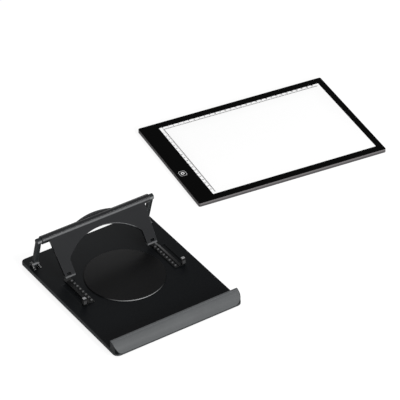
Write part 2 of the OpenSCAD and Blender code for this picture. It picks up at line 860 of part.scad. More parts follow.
module touch_sensor() color("silver") at_pad() translate([key_x, key_y, floor_top + control_t])
    cylinder(r = sensor_r, h = mask_z - floor_top - control_t);

module power_socket() color(steel) at_pad()
    translate([socket_x - socket_w / 2, pad_d - socket_len, socket_z]) {
        difference() {
            cube([socket_w, socket_len, socket_h]);
            translate([socket_wall, socket_back, socket_wall])
                cube([socket_w - 2 * socket_wall, socket_len, socket_h - 2 * socket_wall]);
        }
        translate([socket_tongue_edge, socket_back / 2, (socket_h - socket_tongue) / 2])
            cube([socket_w - 2 * socket_tongue_edge, socket_len - socket_back, socket_tongue]);
    }

module pad_feet() color(black) at_pad()
    for (x = [pad_foot_inset, pad_w - pad_foot_inset], y = [pad_foot_inset, pad_d - pad_foot_inset])
        translate([x, y, 0]) cylinder(r = pad_foot_r, h = pad_foot_t);

turntable_foot();
anti_slip_sheet();
glide_ring();
hub_retainer();
retainer_screws();
base_plate();
lip_trim();
turntable_cover();
rack_left();
rack_right();
rack_screws();
hinge_bracket_left();
hinge_bracket_right();
bracket_screws();
lower_hinge_pins();
link_left();
link_right();
upper_hinge_pins();
support_panel();
back_tray();
top_sheet();
border_mask();
diffuser_sheet();
light_guide();
reflector_sheet();
lamp_board();
lamps();
control_board();
board_parts();
touch_sensor();
power_socket();
pad_feet();
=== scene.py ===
"""Looks of the tracing light pad and its folding swivel stand. Metres, in the part's own frame."""

import json
import math

import bmesh
import bpy
from mathutils import Matrix, Vector


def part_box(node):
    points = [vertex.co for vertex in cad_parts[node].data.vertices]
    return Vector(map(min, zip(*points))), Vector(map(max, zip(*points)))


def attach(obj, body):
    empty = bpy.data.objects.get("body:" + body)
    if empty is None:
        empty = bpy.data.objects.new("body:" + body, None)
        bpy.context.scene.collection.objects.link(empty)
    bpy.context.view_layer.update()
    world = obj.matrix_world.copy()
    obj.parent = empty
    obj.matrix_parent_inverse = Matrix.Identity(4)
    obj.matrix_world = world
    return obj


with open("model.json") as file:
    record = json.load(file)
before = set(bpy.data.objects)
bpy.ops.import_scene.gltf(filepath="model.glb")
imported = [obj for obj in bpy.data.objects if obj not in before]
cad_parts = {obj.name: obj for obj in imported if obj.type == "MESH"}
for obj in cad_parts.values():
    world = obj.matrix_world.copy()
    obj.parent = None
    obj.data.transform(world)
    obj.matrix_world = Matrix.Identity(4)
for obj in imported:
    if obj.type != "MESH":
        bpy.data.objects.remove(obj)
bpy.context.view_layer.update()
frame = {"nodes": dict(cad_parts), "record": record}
nodes = frame["nodes"]

# The pad's own frame, from two mounts whose places on the pad are known
PAD_SIZE = Vector((0.355, 0.240, 0.008))
FOOT_INSET = Vector((0.016, 0.016, 0.0))
mount_at = {m["name"]: Vector(m["pos_m"]) for m in frame["record"]["mounts"]}
pad_centre = mount_at["tracing_face"]
foot_to_centre = (pad_centre - mount_at["pad_foot_face"]).xy
plain_diagonal = (PAD_SIZE / 2 - FOOT_INSET).xy
PAD_TURN = plain_diagonal.angle_signed(foot_to_centre) * -1
pad_turned = Matrix.Rotation(PAD_TURN, 4, "Z")
pad_corner = pad_centre - pad_turned @ PAD_SIZE.xy.to_3d() / 2
pad_corner.z = 0.0
pad_frame = Matrix.Translation(pad_corner) @ pad_turned
PAD_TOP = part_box("top_sheet")[1].z

# Lit window of the pad, from the pad's left and front edges
BORDER_LEFT = 0.033
BORDER_RIGHT = 0.0125
BORDER_FRONT = 0.0144
BORDER_REAR = 0.0153
WINDOW_LOW = Vector((BORDER_LEFT, BORDER_FRONT))
WINDOW_HIGH = Vector((PAD_SIZE.x - BORDER_RIGHT, PAD_SIZE.y - BORDER_REAR))
WINDOW_GREY = 0.86
WINDOW_GLOW = (0.41, 0.44)
GLOW_DEPTH = 0.03
PRINT_EDGE = 0.0001
SAWN_EDGE = (PAD_TOP - 0.0002, PAD_TOP - 0.0005)

# Printed marks
INK_THICKNESS = 0.00004
RULER_INSET = 0.0064
RULER_MARGIN_MM = 4
RULER_CORNER = Vector((WINDOW_LOW.x + RULER_INSET, WINDOW_HIGH.y - RULER_INSET))
RULER_ACROSS_MM = math.floor((WINDOW_HIGH.x - RULER_CORNER.x) * 1000) - RULER_MARGIN_MM
RULER_DOWN_MM = math.floor((RULER_CORNER.y - WINDOW_LOW.y) * 1000) - RULER_MARGIN_MM
RULER_LINE = 0.0007
TICK_WIDTH = 0.00042
TICK_LENGTHS = {10: 0.0032, 5: 0.0024, 1: 0.0016}
NUMBER_STEP_MM = 10
NUMBER_HEIGHT = 0.0028
NUMBER_INSET = 0.0018
NUMBER_WEIGHT = 0.00012
NUMBER_CURVE_STEPS = 3
DIGIT_SHARE_OF_FONT = 0.7
KEY_PLACE = Vector((0.0124, 0.089))
KEY_SIZE = Vector((0.0127, 0.0140))
KEY_LINE = 0.0009
KEY_CORNER = 0.0036
KEY_CORNER_STEPS = 6
KEY_RING_RADIUS = 0.0031
KEY_RING_LINE = 0.00108
KEY_RING_STEPS = 40
KEY_STROKE_DROP = 0.00027

# Places painted with highlights and lightening, set as paler plastic, from the pieces' own boxes.
# A pair for a ramp gives where a pale patch starts and where it is full, and any other pair its two limits.
# A level is the share of the pale colour, and a soft edge is how far a patch fades outside its limits.
# Painted highlight round the front of the turntable cover's rim
COVER_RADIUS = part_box("turntable_cover")[1].x
COVER_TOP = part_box("turntable_cover")[1].z
RIM_IN = (COVER_RADIUS - 0.0012, COVER_RADIUS - 0.0006)
RIM_DOWN = (COVER_TOP - 0.00018, COVER_TOP - 0.00048)
RIM_FRONT = (COVER_RADIUS * 0.58, COVER_RADIUS)
RIM_BEARING = math.radians(-103)

# Painted highlights on the racks' teeth, catch posts and right ridge
RACK_LOW, RACK_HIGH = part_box("rack_right")
STRIP_TOP = RACK_LOW.z + 0.0012
TOOTH_LIT = (0.0788, 0.0812)
TOOTH_SOFT = 0.0006
TOOTH_CRESTS = (STRIP_TOP + 0.00046, STRIP_TOP + 0.00207)
TOOTH_LEVEL = 0.30
POST_INSIDE = (0.0895, 0.0898)
POST_FRONTS = (STRIP_TOP + 0.0020, RACK_HIGH.z - 0.0042)
POST_SOFT = 0.0012
POST_LEVEL = 0.18
POST_TOPS = (RACK_HIGH.z - 0.0008, RACK_HIGH.z - 0.0002)
RIDGE_LIT = (0.0853, 0.0881)
RIDGE_SOFT = 0.0004
RIDGE_FADE = (RACK_LOW.y, RACK_HIGH.y)
RIDGE_LEVEL = 0.67

KNUCKLE_RADIUS = 0.0050
BAR_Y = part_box("link_right")[0].y + KNUCKLE_RADIUS
BAR_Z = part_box("link_right")[1].z - KNUCKLE_RADIUS
# Painted highlights on the links' upper knuckles and shanks
KNUCKLE_FRONT = (BAR_Y - 0.0040, BAR_Y - 0.0046)
KNUCKLE_HIGH = (BAR_Z - 0.00175, BAR_Z - 0.00075)
SHANK_LIT = (0.0152, 0.0188)
SHANK_SOFT = 0.0004

# Painted highlights on the panel's feet, bar and arch edge
FOOT_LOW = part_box("support_panel")[0].z
FOOT_LIT = (FOOT_LOW + 0.0051, FOOT_LOW + 0.0048)
FOOT_LEVEL = 0.76
PANEL_SLOPE = math.radians(50.85)
PANEL_FRONT = (0.0053, 0.0055)
BAR_BOTTOM = (-0.0040, -0.0030)
BAR_HIGHLIGHT = (math.radians(15.5), math.radians(32.5))
BAR_HIGHLIGHT_SOFT = math.radians(8.5)
ARCH_DROP = 0.105
ARCH_EDGE = (0.0922, 0.0920)
ARCH_LIT = (0.008, 0.058)
ARCH_SOFT = 0.005

# Painted highlights along the plate's edges and its lip
PLATE_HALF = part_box("base_plate")[1].x
LIP_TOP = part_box("base_plate")[1].z
LIP_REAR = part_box("base_plate")[0].y + 0.0175
SKIRT_LIT = (0.0046, 0.0072)
SKIRT_SOFT = 0.0004
SKIRT_LEVEL = 0.80
SIDE_LIT = (PLATE_HALF - 0.0016, PLATE_HALF - 0.0010)
SIDE_LEVEL = 0.42
LIP_CREST_LIT = (LIP_TOP - 0.0016, LIP_TOP - 0.0010)
LIP_LEVEL = 0.75
LIP_END_LIT = (PLATE_HALF - 0.0020, PLATE_HALF - 0.0008)
LIP_END_FADE = (LIP_REAR + 0.0040, LIP_REAR)
LIP_END_LEVEL = 0.26

# Trim painted paler towards its bottom, as painted light against its shade
TRIM_LOW, TRIM_HIGH = [corner.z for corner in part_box("lip_trim")]
TRIM_LIGHTENED = ((TRIM_LOW + TRIM_HIGH) / 2, TRIM_LOW)
TRIM_LEVEL = 0.26
# Painted shade along the trim's bottom edge, and its rounded lower corners
TRIM_SHADE_TOP = TRIM_LOW + 0.0013
TRIM_PAINT_HALF = 0.1122
TRIM_LEAN = 0.51
TRIM_CORNER = 0.0065
TRIM_SOFT = 0.0003

# Finishes
WHITE = (1.0, 1.0, 1.0, 1.0)
# Dark of the painted shade under the trim and of its bare corners
SHADE_AND_BARE_BLACK = (0.020, 0.021, 0.022)
NOISE_MIDDLE = (0.3, 0.7)
PLASTIC_DETAIL = 3.0
CLOUD_SCALE = 22.0
CLOUD_SHARE = 0.14
GRAIN_DEPTH = 0.00006
GRAIN_PALER = (0.6, 1.0)
GRAIN_ROUGHNESS_SHARE = 0.15
EDGE_ROUNDING = 0.0005
EDGE_COSINES = (0.995, 0.8)
ROUNDING_SAMPLES = 6
STREAK_SCALE = 900.0
STREAK_DEPTH = 0.00002
STREAK_BUMP = 0.2
STREAK_SPREAD = 0.08
METAL_ROUNDING = 0.0002
FILM_SPREAD = 0.05
BORDER_BLACKS = ((0.0006, 0.0006, 0.0006), (0.0012, 0.0012, 0.0012))
BORDER_SCALE = 30.0
SAWN_GREYS = ((0.185, 0.174, 0.177), (0.240, 0.227, 0.230))
SAWN_SCALE = 400.0
SCUFF_SCALE = 140.0
SCUFF_DETAIL = 4.0
SCUFF_LIMITS = (0.3, 0.8)
SHEET_ROUGHNESS = (0.14, 0.26)
SHEET_SPECULAR = 0.01
SPECKLE_SCALE = 2500.0
SPECKLE_SHARE = 1.25
INK_ROUGHNESS = 0.5
INK_SPECULAR = 0.2

# Stage, light and camera
FLOOR_HALF = 6.0
FLOOR_GREY = 0.33
FLOOR_GLOW = 0.84
FLOOR_ROUGHNESS = 0.9
WORLD_LIGHT = 0.32
STAND_MIDDLE = (0.0, 0.0, 0.03)
PLATE_REAR = (-0.01, 0.19, 0.02)
CAMERA_PLACE = (-2.015, -3.219, 3.001)
CAMERA_YAW = math.radians(33.87)
CAMERA_PITCH = math.radians(36.8)
CAMERA_LENS = 270.0
CAMERA_REACH = 50.0
SENSOR_WIDTH = 36.0


# Node helpers

# Colour sockets of the mix node, by number because its other kinds of value share their names
MIX_LOW = 6
MIX_HIGH = 7
MIX_RESULT = 2


def new_material(name):
    material = bpy.data.materials.new(name)
    material.use_nodes = True
    tree = material.node_tree
    return material, tree, tree.nodes["Principled BSDF"]


def set_inputs(node, **inputs):
    """Sets a node's inputs by socket name, with _ for a space."""
    for name, value in inputs.items():
        node.inputs[name.replace("_", " ")].default_value = value


def add_node(tree, kind, **inputs):
    node = tree.nodes.new(kind)
    set_inputs(node, **inputs)
    return node


def math_node(tree, operation, first, *others):
    """Runs an operation on one value or along several, each a number or a socket."""
    for second in others or (None,):
        node = tree.nodes.new("ShaderNodeMath")
        node.operation = operation
        for socket, value in zip(node.inputs, (first, second)):
            if isinstance(value, (int, float)):
                socket.default_value = value
            elif value is not None:
                tree.links.new(value, socket)
        first = node.outputs["Value"]
    return first


def mix_colours(tree, factor, low, high):
    """Mix of two colours, each a tuple or a socket, by a socket from 0 to 1."""
    node = tree.nodes.new("ShaderNodeMix")
    node.data_type = "RGBA"
    tree.links.new(factor, node.inputs["Factor"])
    for socket, value in ((node.inputs[MIX_LOW], low), (node.inputs[MIX_HIGH], high)):
        if isinstance(value, tuple):
            socket.default_value = (*value, 1.0)
        else:
            tree.links.new(value, socket)
    return node.outputs[MIX_RESULT]


def remap(tree, value, low, high, to_low, to_high):
    node = add_node(tree, "ShaderNodeMapRange", From_Min=low, From_Max=high, To_Min=to_low, To_Max=to_high)
    tree.links.new(value, node.inputs["Value"])
    return node.outputs["Result"]


def ramp(tree, value, limits, level=1.0):
    """Rises from 0 at the first limit to a level at the second."""
    return remap(tree, value, *limits, 0.0, level)


def between(tree, value, limits, soft):
    """1 between two limits, falling to 0 over a soft edge outside them."""
    low, high = limits
    rise = ramp(tree, value, (low - soft, low))
    fall = ramp(tree, value, (high + soft, high))
    return math_node(tree, "MULTIPLY", rise, fall)


def hypotenuse(tree, first, second):
    first_square = math_node(tree, "MULTIPLY", first, first)
    second_square = math_node(tree, "MULTIPLY", second, second)
    return math_node(tree, "SQRT", math_node(tree, "ADD", first_square, second_square))


def along_line(tree, across, up, angle):
    """How far a place lies along a line that rises at an angle, from its two offsets."""
    across_part = math_node(tree, "MULTIPLY", across, math.cos(angle))
    up_part = math_node(tree, "MULTIPLY", up, math.sin(angle))
    return math_node(tree, "ADD", across_part, up_part)


def object_place(tree):
    return tree.nodes.new("ShaderNodeTexCoord").outputs["Object"]


def axes_of(tree, place):
    split = tree.nodes.new("ShaderNodeSeparateXYZ")
    tree.links.new(place, split.inputs["Vector"])
    return split.outputs["X"], split.outputs["Y"], split.outputs["Z"]


def noise(tree, place, scale, detail=2.0):
    node = add_node(tree, "ShaderNodeTexNoise", Scale=scale, Detail=detail)
    tree.links.new(place, node.inputs["Vector"])
    return node.outputs["Fac"]


def vary_roughness(tree, shader, pattern, low, high, limits=NOISE_MIDDLE):
    """Lets a noise vary the roughness from low to high."""
    tree.links.new(remap(tree, pattern, *limits, low, high), shader.inputs["Roughness"])


def rounded_normal(tree, radius):
    node = add_node(tree, "ShaderNodeBevel", Radius=radius)
    node.samples = ROUNDING_SAMPLES
    return node.outputs["Normal"]


def edge_mask(tree, radius):
    """1 along edges sharper than a rounding of that radius, 0 on open faces."""
    dot = tree.nodes.new("ShaderNodeVectorMath")
    dot.operation = "DOT_PRODUCT"
    tree.links.new(tree.nodes.new("ShaderNodeNewGeometry").outputs["Normal"], dot.inputs[0])
    tree.links.new(rounded_normal(tree, radius), dot.inputs[1])
    return ramp(tree, dot.outputs["Value"], EDGE_COSINES)


def add_bump(tree, shader, height, distance, strength, rounding):
    bump = add_node(tree, "ShaderNodeBump", Strength=strength, Distance=distance)
    tree.links.new(height, bump.inputs["Height"])
    tree.links.new(rounded_normal(tree, rounding), bump.inputs["Normal"])
    tree.links.new(bump.outputs["Normal"], shader.inputs["Normal"])


def background_seen(tree):
    """1 where the background itself is seen, also in gloss or through a clear part, and 0 elsewhere."""
    rays = tree.nodes.new("ShaderNodeLightPath").outputs
    kinds = ("Is Camera Ray", "Is Glossy Ray", "Is Transmission Ray")
    return math_node(tree, "MAXIMUM", *[rays[kind] for kind in kinds])


# Painted highlights and painted lightening on the plastic, besides its paler edges

def painted_rim_highlight(tree, place):
    """Painted highlight on the side of the turntable cover's rounded rim, most at its front and fading
    round both sides.
    """
    x, y, z = axes_of(tree, place)
    rim = ramp(tree, hypotenuse(tree, x, y), RIM_IN)
    side = ramp(tree, z, RIM_DOWN)
    front = ramp(tree, along_line(tree, x, y, RIM_BEARING), RIM_FRONT)
    return math_node(tree, "MULTIPLY", rim, side, front, front)


def painted_rack_highlights(tree, place):
    """Painted highlights on the teeth's crests, the catch posts' fronts and tops, and the right ridge
    towards its rear.
    """
    x, y, z = axes_of(tree, place)
    aside = math_node(tree, "ABSOLUTE", x)
    crests = ramp(tree, z, TOOTH_CRESTS, TOOTH_LEVEL)
    teeth = math_node(tree, "MULTIPLY", between(tree, aside, TOOTH_LIT, TOOTH_SOFT), crests)
    fronts = math_node(tree, "MULTIPLY", between(tree, z, POST_FRONTS, POST_SOFT), POST_LEVEL)
    fronts_and_tops = math_node(tree, "MAXIMUM", fronts, ramp(tree, z, POST_TOPS))
    posts = math_node(tree, "MULTIPLY", ramp(tree, aside, POST_INSIDE), fronts_and_tops)
    towards_rear = ramp(tree, y, RIDGE_FADE, RIDGE_LEVEL)
    ridge = math_node(tree, "MULTIPLY", between(tree, x, RIDGE_LIT, RIDGE_SOFT), towards_rear, towards_rear)
    return math_node(tree, "MAXIMUM", teeth, posts, ridge)


def painted_knuckle_highlights(tree, place):
    """Painted highlights on the front of the links' upper knuckles and on a band of their shanks."""
    _, y, z = axes_of(tree, place)
    knuckles = math_node(tree, "MULTIPLY", ramp(tree, y, KNUCKLE_FRONT), ramp(tree, z, KNUCKLE_HIGH))
    return math_node(tree, "MAXIMUM", knuckles, between(tree, z, SHANK_LIT, SHANK_SOFT))


def painted_panel_highlights(tree, place):
    """Painted highlights on the feet's crossbars, on a strip along the front of the bar and on the right
    part of the arch's edge.
    """
    x, y, z = axes_of(tree, place)
    feet = ramp(tree, z, FOOT_LIT, FOOT_LEVEL)
    back = math_node(tree, "SUBTRACT", y, BAR_Y)
    rise = math_node(tree, "SUBTRACT", z, BAR_Z)
    along = along_line(tree, back, rise, PANEL_SLOPE)
    front = ramp(tree, along_line(tree, back, rise, PANEL_SLOPE + math.pi / 2), PANEL_FRONT)
    bearing = math_node(tree, "ARCTAN2", rise, math_node(tree, "MULTIPLY", back, -1.0))
    strip = between(tree, bearing, BAR_HIGHLIGHT, BAR_HIGHLIGHT_SOFT)
    strip = math_node(tree, "MULTIPLY", strip, ramp(tree, along, BAR_BOTTOM), front)
    from_centre = hypotenuse(tree, x, math_node(tree, "ADD", along, ARCH_DROP))
    arch = ramp(tree, from_centre, ARCH_EDGE)
    arch = math_node(tree, "MULTIPLY", arch, between(tree, x, ARCH_LIT, ARCH_SOFT), front)
    return math_node(tree, "MAXIMUM", feet, strip, arch)


def painted_plate_highlights(tree, place):
    """Painted highlights along the plate's bottom edge and side edges, and on its lip's top and ends."""
    x, y, z = axes_of(tree, place)
    aside = math_node(tree, "ABSOLUTE", x)
    skirt = math_node(tree, "MULTIPLY", between(tree, z, SKIRT_LIT, SKIRT_SOFT), SKIRT_LEVEL)
    sides = ramp(tree, aside, SIDE_LIT, SIDE_LEVEL)
    lip_top = ramp(tree, z, LIP_CREST_LIT, LIP_LEVEL)
    lip_ends = ramp(tree, aside, LIP_END_LIT, LIP_END_LEVEL)
    lip_ends = math_node(tree, "MULTIPLY", lip_ends, ramp(tree, y, LIP_END_FADE))
    return math_node(tree, "MAXIMUM", skirt, sides, lip_top, lip_ends)


def painted_trim_lightening(tree, place):
    """The lower half of the lip's trim painted paler, more towards its bottom, as painted light against its
    shade there.
    """
    return ramp(tree, axes_of(tree, place)[2], TRIM_LIGHTENED, TRIM_LEVEL)


def trim_shade_and_bare_corners(tree, place):
    """1 along the trim's bottom edge, a painted shade for the shadowed gap under the plate, and outside its
    rounded lower corners, which are left unpainted.
    """
    x, _, z = axes_of(tree, place)
    rise = math_node(tree, "SUBTRACT", z, TRIM_SHADE_TOP)
    lean = math_node(tree, "MULTIPLY", rise, TRIM_LEAN)
    reach = math_node(tree, "SUBTRACT", math_node(tree, "ABSOLUTE", x), lean)
    aside = math_node(tree, "SUBTRACT", reach, TRIM_PAINT_HALF - TRIM_CORNER)
    below = math_node(tree, "SUBTRACT", TRIM_CORNER, rise)
    from_centre = hypotenuse(tree, *[math_node(tree, "MAXIMUM", offset, 0.0) for offset in (aside, below)])
    return ramp(tree, from_centre, (TRIM_CORNER - TRIM_SOFT, TRIM_CORNER))


# Materials

def moulded_plastic(name, colour, highlight_and_wear_colour, roughness, specular, grain=1100.0, pale_edge_radius=0.0009, bump=0.35,
                    painted_light_zone=None, edge_highlight_and_wear=1.0, shade_and_bare_zone=None):
    """Moulded plastic with a spark-eroded grain and faint clouding, its edges paler partly as wear and
    partly as painted highlight, and zones of painted light and painted shade.
    """
    material, tree, shader = new_material(name)
    place = object_place(tree)
    clouds = noise(tree, place, CLOUD_SCALE, PLASTIC_DETAIL)
    grains = noise(tree, place, grain, PLASTIC_DETAIL)
    darker = tuple((1.0 - CLOUD_SHARE) * c for c in colour)
    paler = tuple((1.0 + CLOUD_SHARE) * c for c in colour)
    plain = mix_colours(tree, clouds, darker, paler)
    # Paler edges, partly wear and partly painted highlight, and zones of painted light
    highlight_and_wear_share = math_node(tree, "MULTIPLY", edge_mask(tree, pale_edge_radius), edge_highlight_and_wear)
    if painted_light_zone:
        highlight_and_wear_share = math_node(tree, "MAXIMUM", highlight_and_wear_share, painted_light_zone(tree, place))
    highlight_and_wear_share = math_node(tree, "MULTIPLY", highlight_and_wear_share, remap(tree, grains, *NOISE_MIDDLE, *GRAIN_PALER))
    seen = mix_colours(tree, highlight_and_wear_share, plain, highlight_and_wear_colour)
    # Painted shade along the trim's bottom edge, and its bare corners, in the dark zone
    if shade_and_bare_zone:
        seen = mix_colours(tree, shade_and_bare_zone(tree, place), seen, SHADE_AND_BARE_BLACK)
    tree.links.new(seen, shader.inputs["Base Color"])
    spread = GRAIN_ROUGHNESS_SHARE * roughness
    vary_roughness(tree, shader, grains, roughness - spread, roughness + spread)
    set_inputs(shader, Specular_IOR_Level=specular)
    add_bump(tree, shader, grains, GRAIN_DEPTH, bump, EDGE_ROUNDING)
    return material


# Bracket plastic whose very pale edges are mostly painted highlight
def bracket_plastic(name, edge_highlight_and_wear):
    return moulded_plastic(
        name, (0.0200, 0.0204, 0.0210), (0.750, 0.754, 0.760), roughness=0.30, specular=0.10,
        pale_edge_radius=0.0011, edge_highlight_and_wear=edge_highlight_and_wear)


def brushed_metal(name, colour, roughness):
    material, tree, shader = new_material(name)
    streaks = noise(tree, object_place(tree), STREAK_SCALE)
    set_inputs(shader, Base_Color=(*colour, 1.0), Metallic=1.0)
    vary_roughness(tree, shader, streaks, roughness - STREAK_SPREAD, roughness + STREAK_SPREAD)
    add_bump(tree, shader, streaks, STREAK_DEPTH, STREAK_BUMP, METAL_ROUNDING)
    return material


def plain_film(name, low, high, roughness, scale=60.0):
    """Sheet or small part inside the pad, with a faint mottle."""
    material, tree, shader = new_material(name)
    mottle = noise(tree, object_place(tree), scale)
    tree.links.new(mix_colours(tree, mottle, low, high), shader.inputs["Base Color"])
    vary_roughness(tree, shader, mottle, roughness - FILM_SPREAD, roughness + FILM_SPREAD)
    return material


def pad_place(tree):
    """Place in the pad's own frame, as separate X, Y and Z sockets."""
    mapping = add_node(tree, "ShaderNodeMapping", Location=pad_corner, Rotation=(0.0, 0.0, PAD_TURN))
    mapping.vector_type = "TEXTURE"
    tree.links.new(object_place(tree), mapping.inputs["Vector"])
    return axes_of(tree, mapping.outputs["Vector"])


def distance_outside(tree, place, low, high):
    """How far outside a rectangle a place lies, negative inside it."""
    sides = []
    for axis in (0, 1):
        offset = math_node(tree, "SUBTRACT", place[axis], (low[axis] + high[axis]) / 2)
        reach = math_node(tree, "ABSOLUTE", offset)
        sides.append(math_node(tree, "SUBTRACT", reach, (high[axis] - low[axis]) / 2))
    return math_node(tree, "MAXIMUM", *sides)


def printed_acrylic():
    """Acrylic sheet, printed black behind its border, with sawn edges and the lit window left clear."""
    material, tree, shader = new_material("printed_acrylic")
    place = pad_place(tree)
    outside = distance_outside(tree, place, WINDOW_LOW, WINDOW_HIGH)
    window = ramp(tree, outside, (PRINT_EDGE, -PRINT_EDGE))
    edge = ramp(tree, place[2], SAWN_EDGE)
    black = mix_colours(tree, noise(tree, object_place(tree), BORDER_SCALE), *BORDER_BLACKS)
    sawn = mix_colours(tree, noise(tree, object_place(tree), SAWN_SCALE), *SAWN_GREYS)
    border = mix_colours(tree, edge, black, sawn)
    sheet = mix_colours(tree, window, border, (WINDOW_GREY, WINDOW_GREY, WINDOW_GREY))
    tree.links.new(sheet, shader.inputs["Base Color"])
    glow = remap(tree, outside, 0.0, -GLOW_DEPTH, *WINDOW_GLOW)
    tree.links.new(math_node(tree, "MULTIPLY", glow, window), shader.inputs["Emission Strength"])
    scuffs = noise(tree, object_place(tree), SCUFF_SCALE, SCUFF_DETAIL)
    vary_roughness(tree, shader, scuffs, *SHEET_ROUGHNESS, limits=SCUFF_LIMITS)
    set_inputs(shader, Emission_Color=WHITE, Specular_IOR_Level=SHEET_SPECULAR)
    return material


def printed_ink(name, colour, glow=0.0):
    material, tree, shader = new_material(name)
    speckle = noise(tree, object_place(tree), SPECKLE_SCALE)
    thin = tuple(min(1.0, SPECKLE_SHARE * c) for c in colour)
    tree.links.new(mix_colours(tree, speckle, colour, thin), shader.inputs["Base Color"])
    set_inputs(shader, Roughness=INK_ROUGHNESS, Specular_IOR_Level=INK_SPECULAR, Emission_Color=WHITE,
               Emission_Strength=glow)
    return material


# The paler zones of these finishes are painted highlights and painted lightening, and their paler edges are
# partly painted highlight
base_black = moulded_plastic(
    "base_black", (0.0043, 0.0050, 0.0058), (0.200, 0.207, 0.214), roughness=0.50, specular=0.03,
    painted_light_zone=painted_plate_highlights, edge_highlight_and_wear=0.18)
cover_black = moulded_plastic(
    "cover_black", (0.0034, 0.0035, 0.0038), (0.480, 0.484, 0.490), roughness=0.36, specular=0.03,
    painted_light_zone=painted_rim_highlight, edge_highlight_and_wear=0.06)
rack_black = moulded_plastic(
    "rack_black", (0.0050, 0.0052, 0.0056), (0.400, 0.403, 0.408), roughness=0.34, specular=0.06,
    pale_edge_radius=0.0003, painted_light_zone=painted_rack_highlights, edge_highlight_and_wear=0.22)
# Lit and shaded copies of one finish: the left bracket's edges carry a strong painted highlight, the right
# one's a faint one
lit_bracket = bracket_plastic("lit_bracket", 1.5)
shaded_bracket = bracket_plastic("shaded_bracket", 0.4)
link_black = moulded_plastic(
    "link_black", (0.0300, 0.0335, 0.0355), (0.300, 0.304, 0.310), roughness=0.20, specular=0.02,
    painted_light_zone=painted_knuckle_highlights, edge_highlight_and_wear=0.35)
panel_grey = moulded_plastic(
    "panel_grey", (0.0176, 0.0184, 0.0200), (0.182, 0.185, 0.190), roughness=0.20, specular=0.10,
    pale_edge_radius=0.0005, bump=0.2, painted_light_zone=painted_panel_highlights, edge_highlight_and_wear=0.76)
lip_grey = moulded_plastic(
    "lip_grey", (0.083, 0.087, 0.090), (0.195, 0.200, 0.205), roughness=0.45, specular=0.20,
    grain=700.0, painted_light_zone=painted_trim_lightening, shade_and_bare_zone=trim_shade_and_bare_corners)
tray_grey = moulded_plastic(
    "tray_grey", (0.084, 0.079, 0.081), (0.110, 0.105, 0.107), roughness=0.45, specular=0.25)
soft_rubber = moulded_plastic(
    "soft_rubber", (0.018, 0.018, 0.018), (0.030, 0.030, 0.030), roughness=0.80, specular=0.15, grain=500.0)
zinc_steel = brushed_metal("zinc_steel", (0.58, 0.58, 0.60), roughness=0.35)
black_steel = brushed_metal("black_steel", (0.012, 0.012, 0.013), roughness=0.40)
glide_film = plain_film("glide_film", (0.78, 0.78, 0.76), (0.86, 0.86, 0.84), roughness=0.35)
black_film = plain_film("black_film", (0.006, 0.006, 0.006), (0.010, 0.010, 0.010), roughness=0.45)
white_film = plain_film("white_film", (0.84, 0.84, 0.84), (0.92, 0.92, 0.92), roughness=0.55)
guide_plate = plain_film("guide_plate", (0.80, 0.84, 0.84), (0.88, 0.92, 0.92), roughness=0.12)
board_green = plain_film(
    "board_green", (0.018, 0.120, 0.050), (0.030, 0.170, 0.075), roughness=0.40, scale=250.0)
chip_black = plain_film(
    "chip_black", (0.012, 0.012, 0.013), (0.024, 0.024, 0.025), roughness=0.55, scale=500.0)
lamp_yellow = plain_film(
    "lamp_yellow", (0.80, 0.62, 0.16), (0.90, 0.74, 0.26), roughness=0.30, scale=800.0)
acrylic = printed_acrylic()
ruler_ink = printed_ink("ruler_ink", (0.020, 0.020, 0.021))
key_ink = printed_ink("key_ink", (0.62, 0.62, 0.62))
key_glow = printed_ink("key_glow", (0.80, 0.80, 0.80), glow=0.45)

FINISHES = {
    base_black: ["base_plate", "turntable_foot"],
    cover_black: ["turntable_cover"],
    rack_black: ["rack_left", "rack_right"],
    lit_bracket: ["hinge_bracket_left"],
    shaded_bracket: ["hinge_bracket_right"],
    link_black: ["link_left", "link_right"],
    panel_grey: ["support_panel"],
    lip_grey: ["lip_trim"],
    soft_rubber: ["anti_slip_sheet", "pad_feet"],
    zinc_steel: [
        "hub_retainer", "retainer_screws", "rack_screws", "bracket_screws", "power_socket", "touch_sensor",
    ],
    black_steel: ["lower_hinge_pins", "upper_hinge_pins"],
    glide_film: ["glide_ring"],
    acrylic: ["top_sheet"],
    tray_grey: ["back_tray"],
    black_film: ["border_mask"],
    white_film: ["diffuser_sheet", "reflector_sheet"],
    guide_plate: ["light_guide"],
    board_green: ["control_board", "lamp_board"],
    chip_black: ["board_parts"],
    lamp_yellow: ["lamps"],
}
for finish, names in FINISHES.items():
    for name in names:
        nodes[name].data.materials.clear()
        nodes[name].data.materials.append(finish)


# Pieces printed on the pad

def piece_from(name, shape, material, body):
    """Makes a piece from a bmesh that is already in the part's frame."""
    mesh = bpy.data.meshes.new(name)
    bmesh.ops.recalc_face_normals(shape, faces=shape.faces)
    shape.to_mesh(mesh)
    shape.free()
    mesh.materials.append(material)
    piece = bpy.data.objects.new(name, mesh)
    bpy.context.scene.collection.objects.link(piece)
    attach(piece, body)


def ink_bar(shape, centre, size):
    """Adds one flat bar of ink, at a place in the pad's frame."""
    place = Matrix.Translation((*centre, PAD_TOP + INK_THICKNESS / 2))
    scale = Matrix.Diagonal((*size, INK_THICKNESS, 1.0))
    bmesh.ops.create_cube(shape, size=1.0, matrix=pad_frame @ place @ scale)


def tick_length(millimetre):
    for step, length in TICK_LENGTHS.items():
        if millimetre % step == 0:
            return length


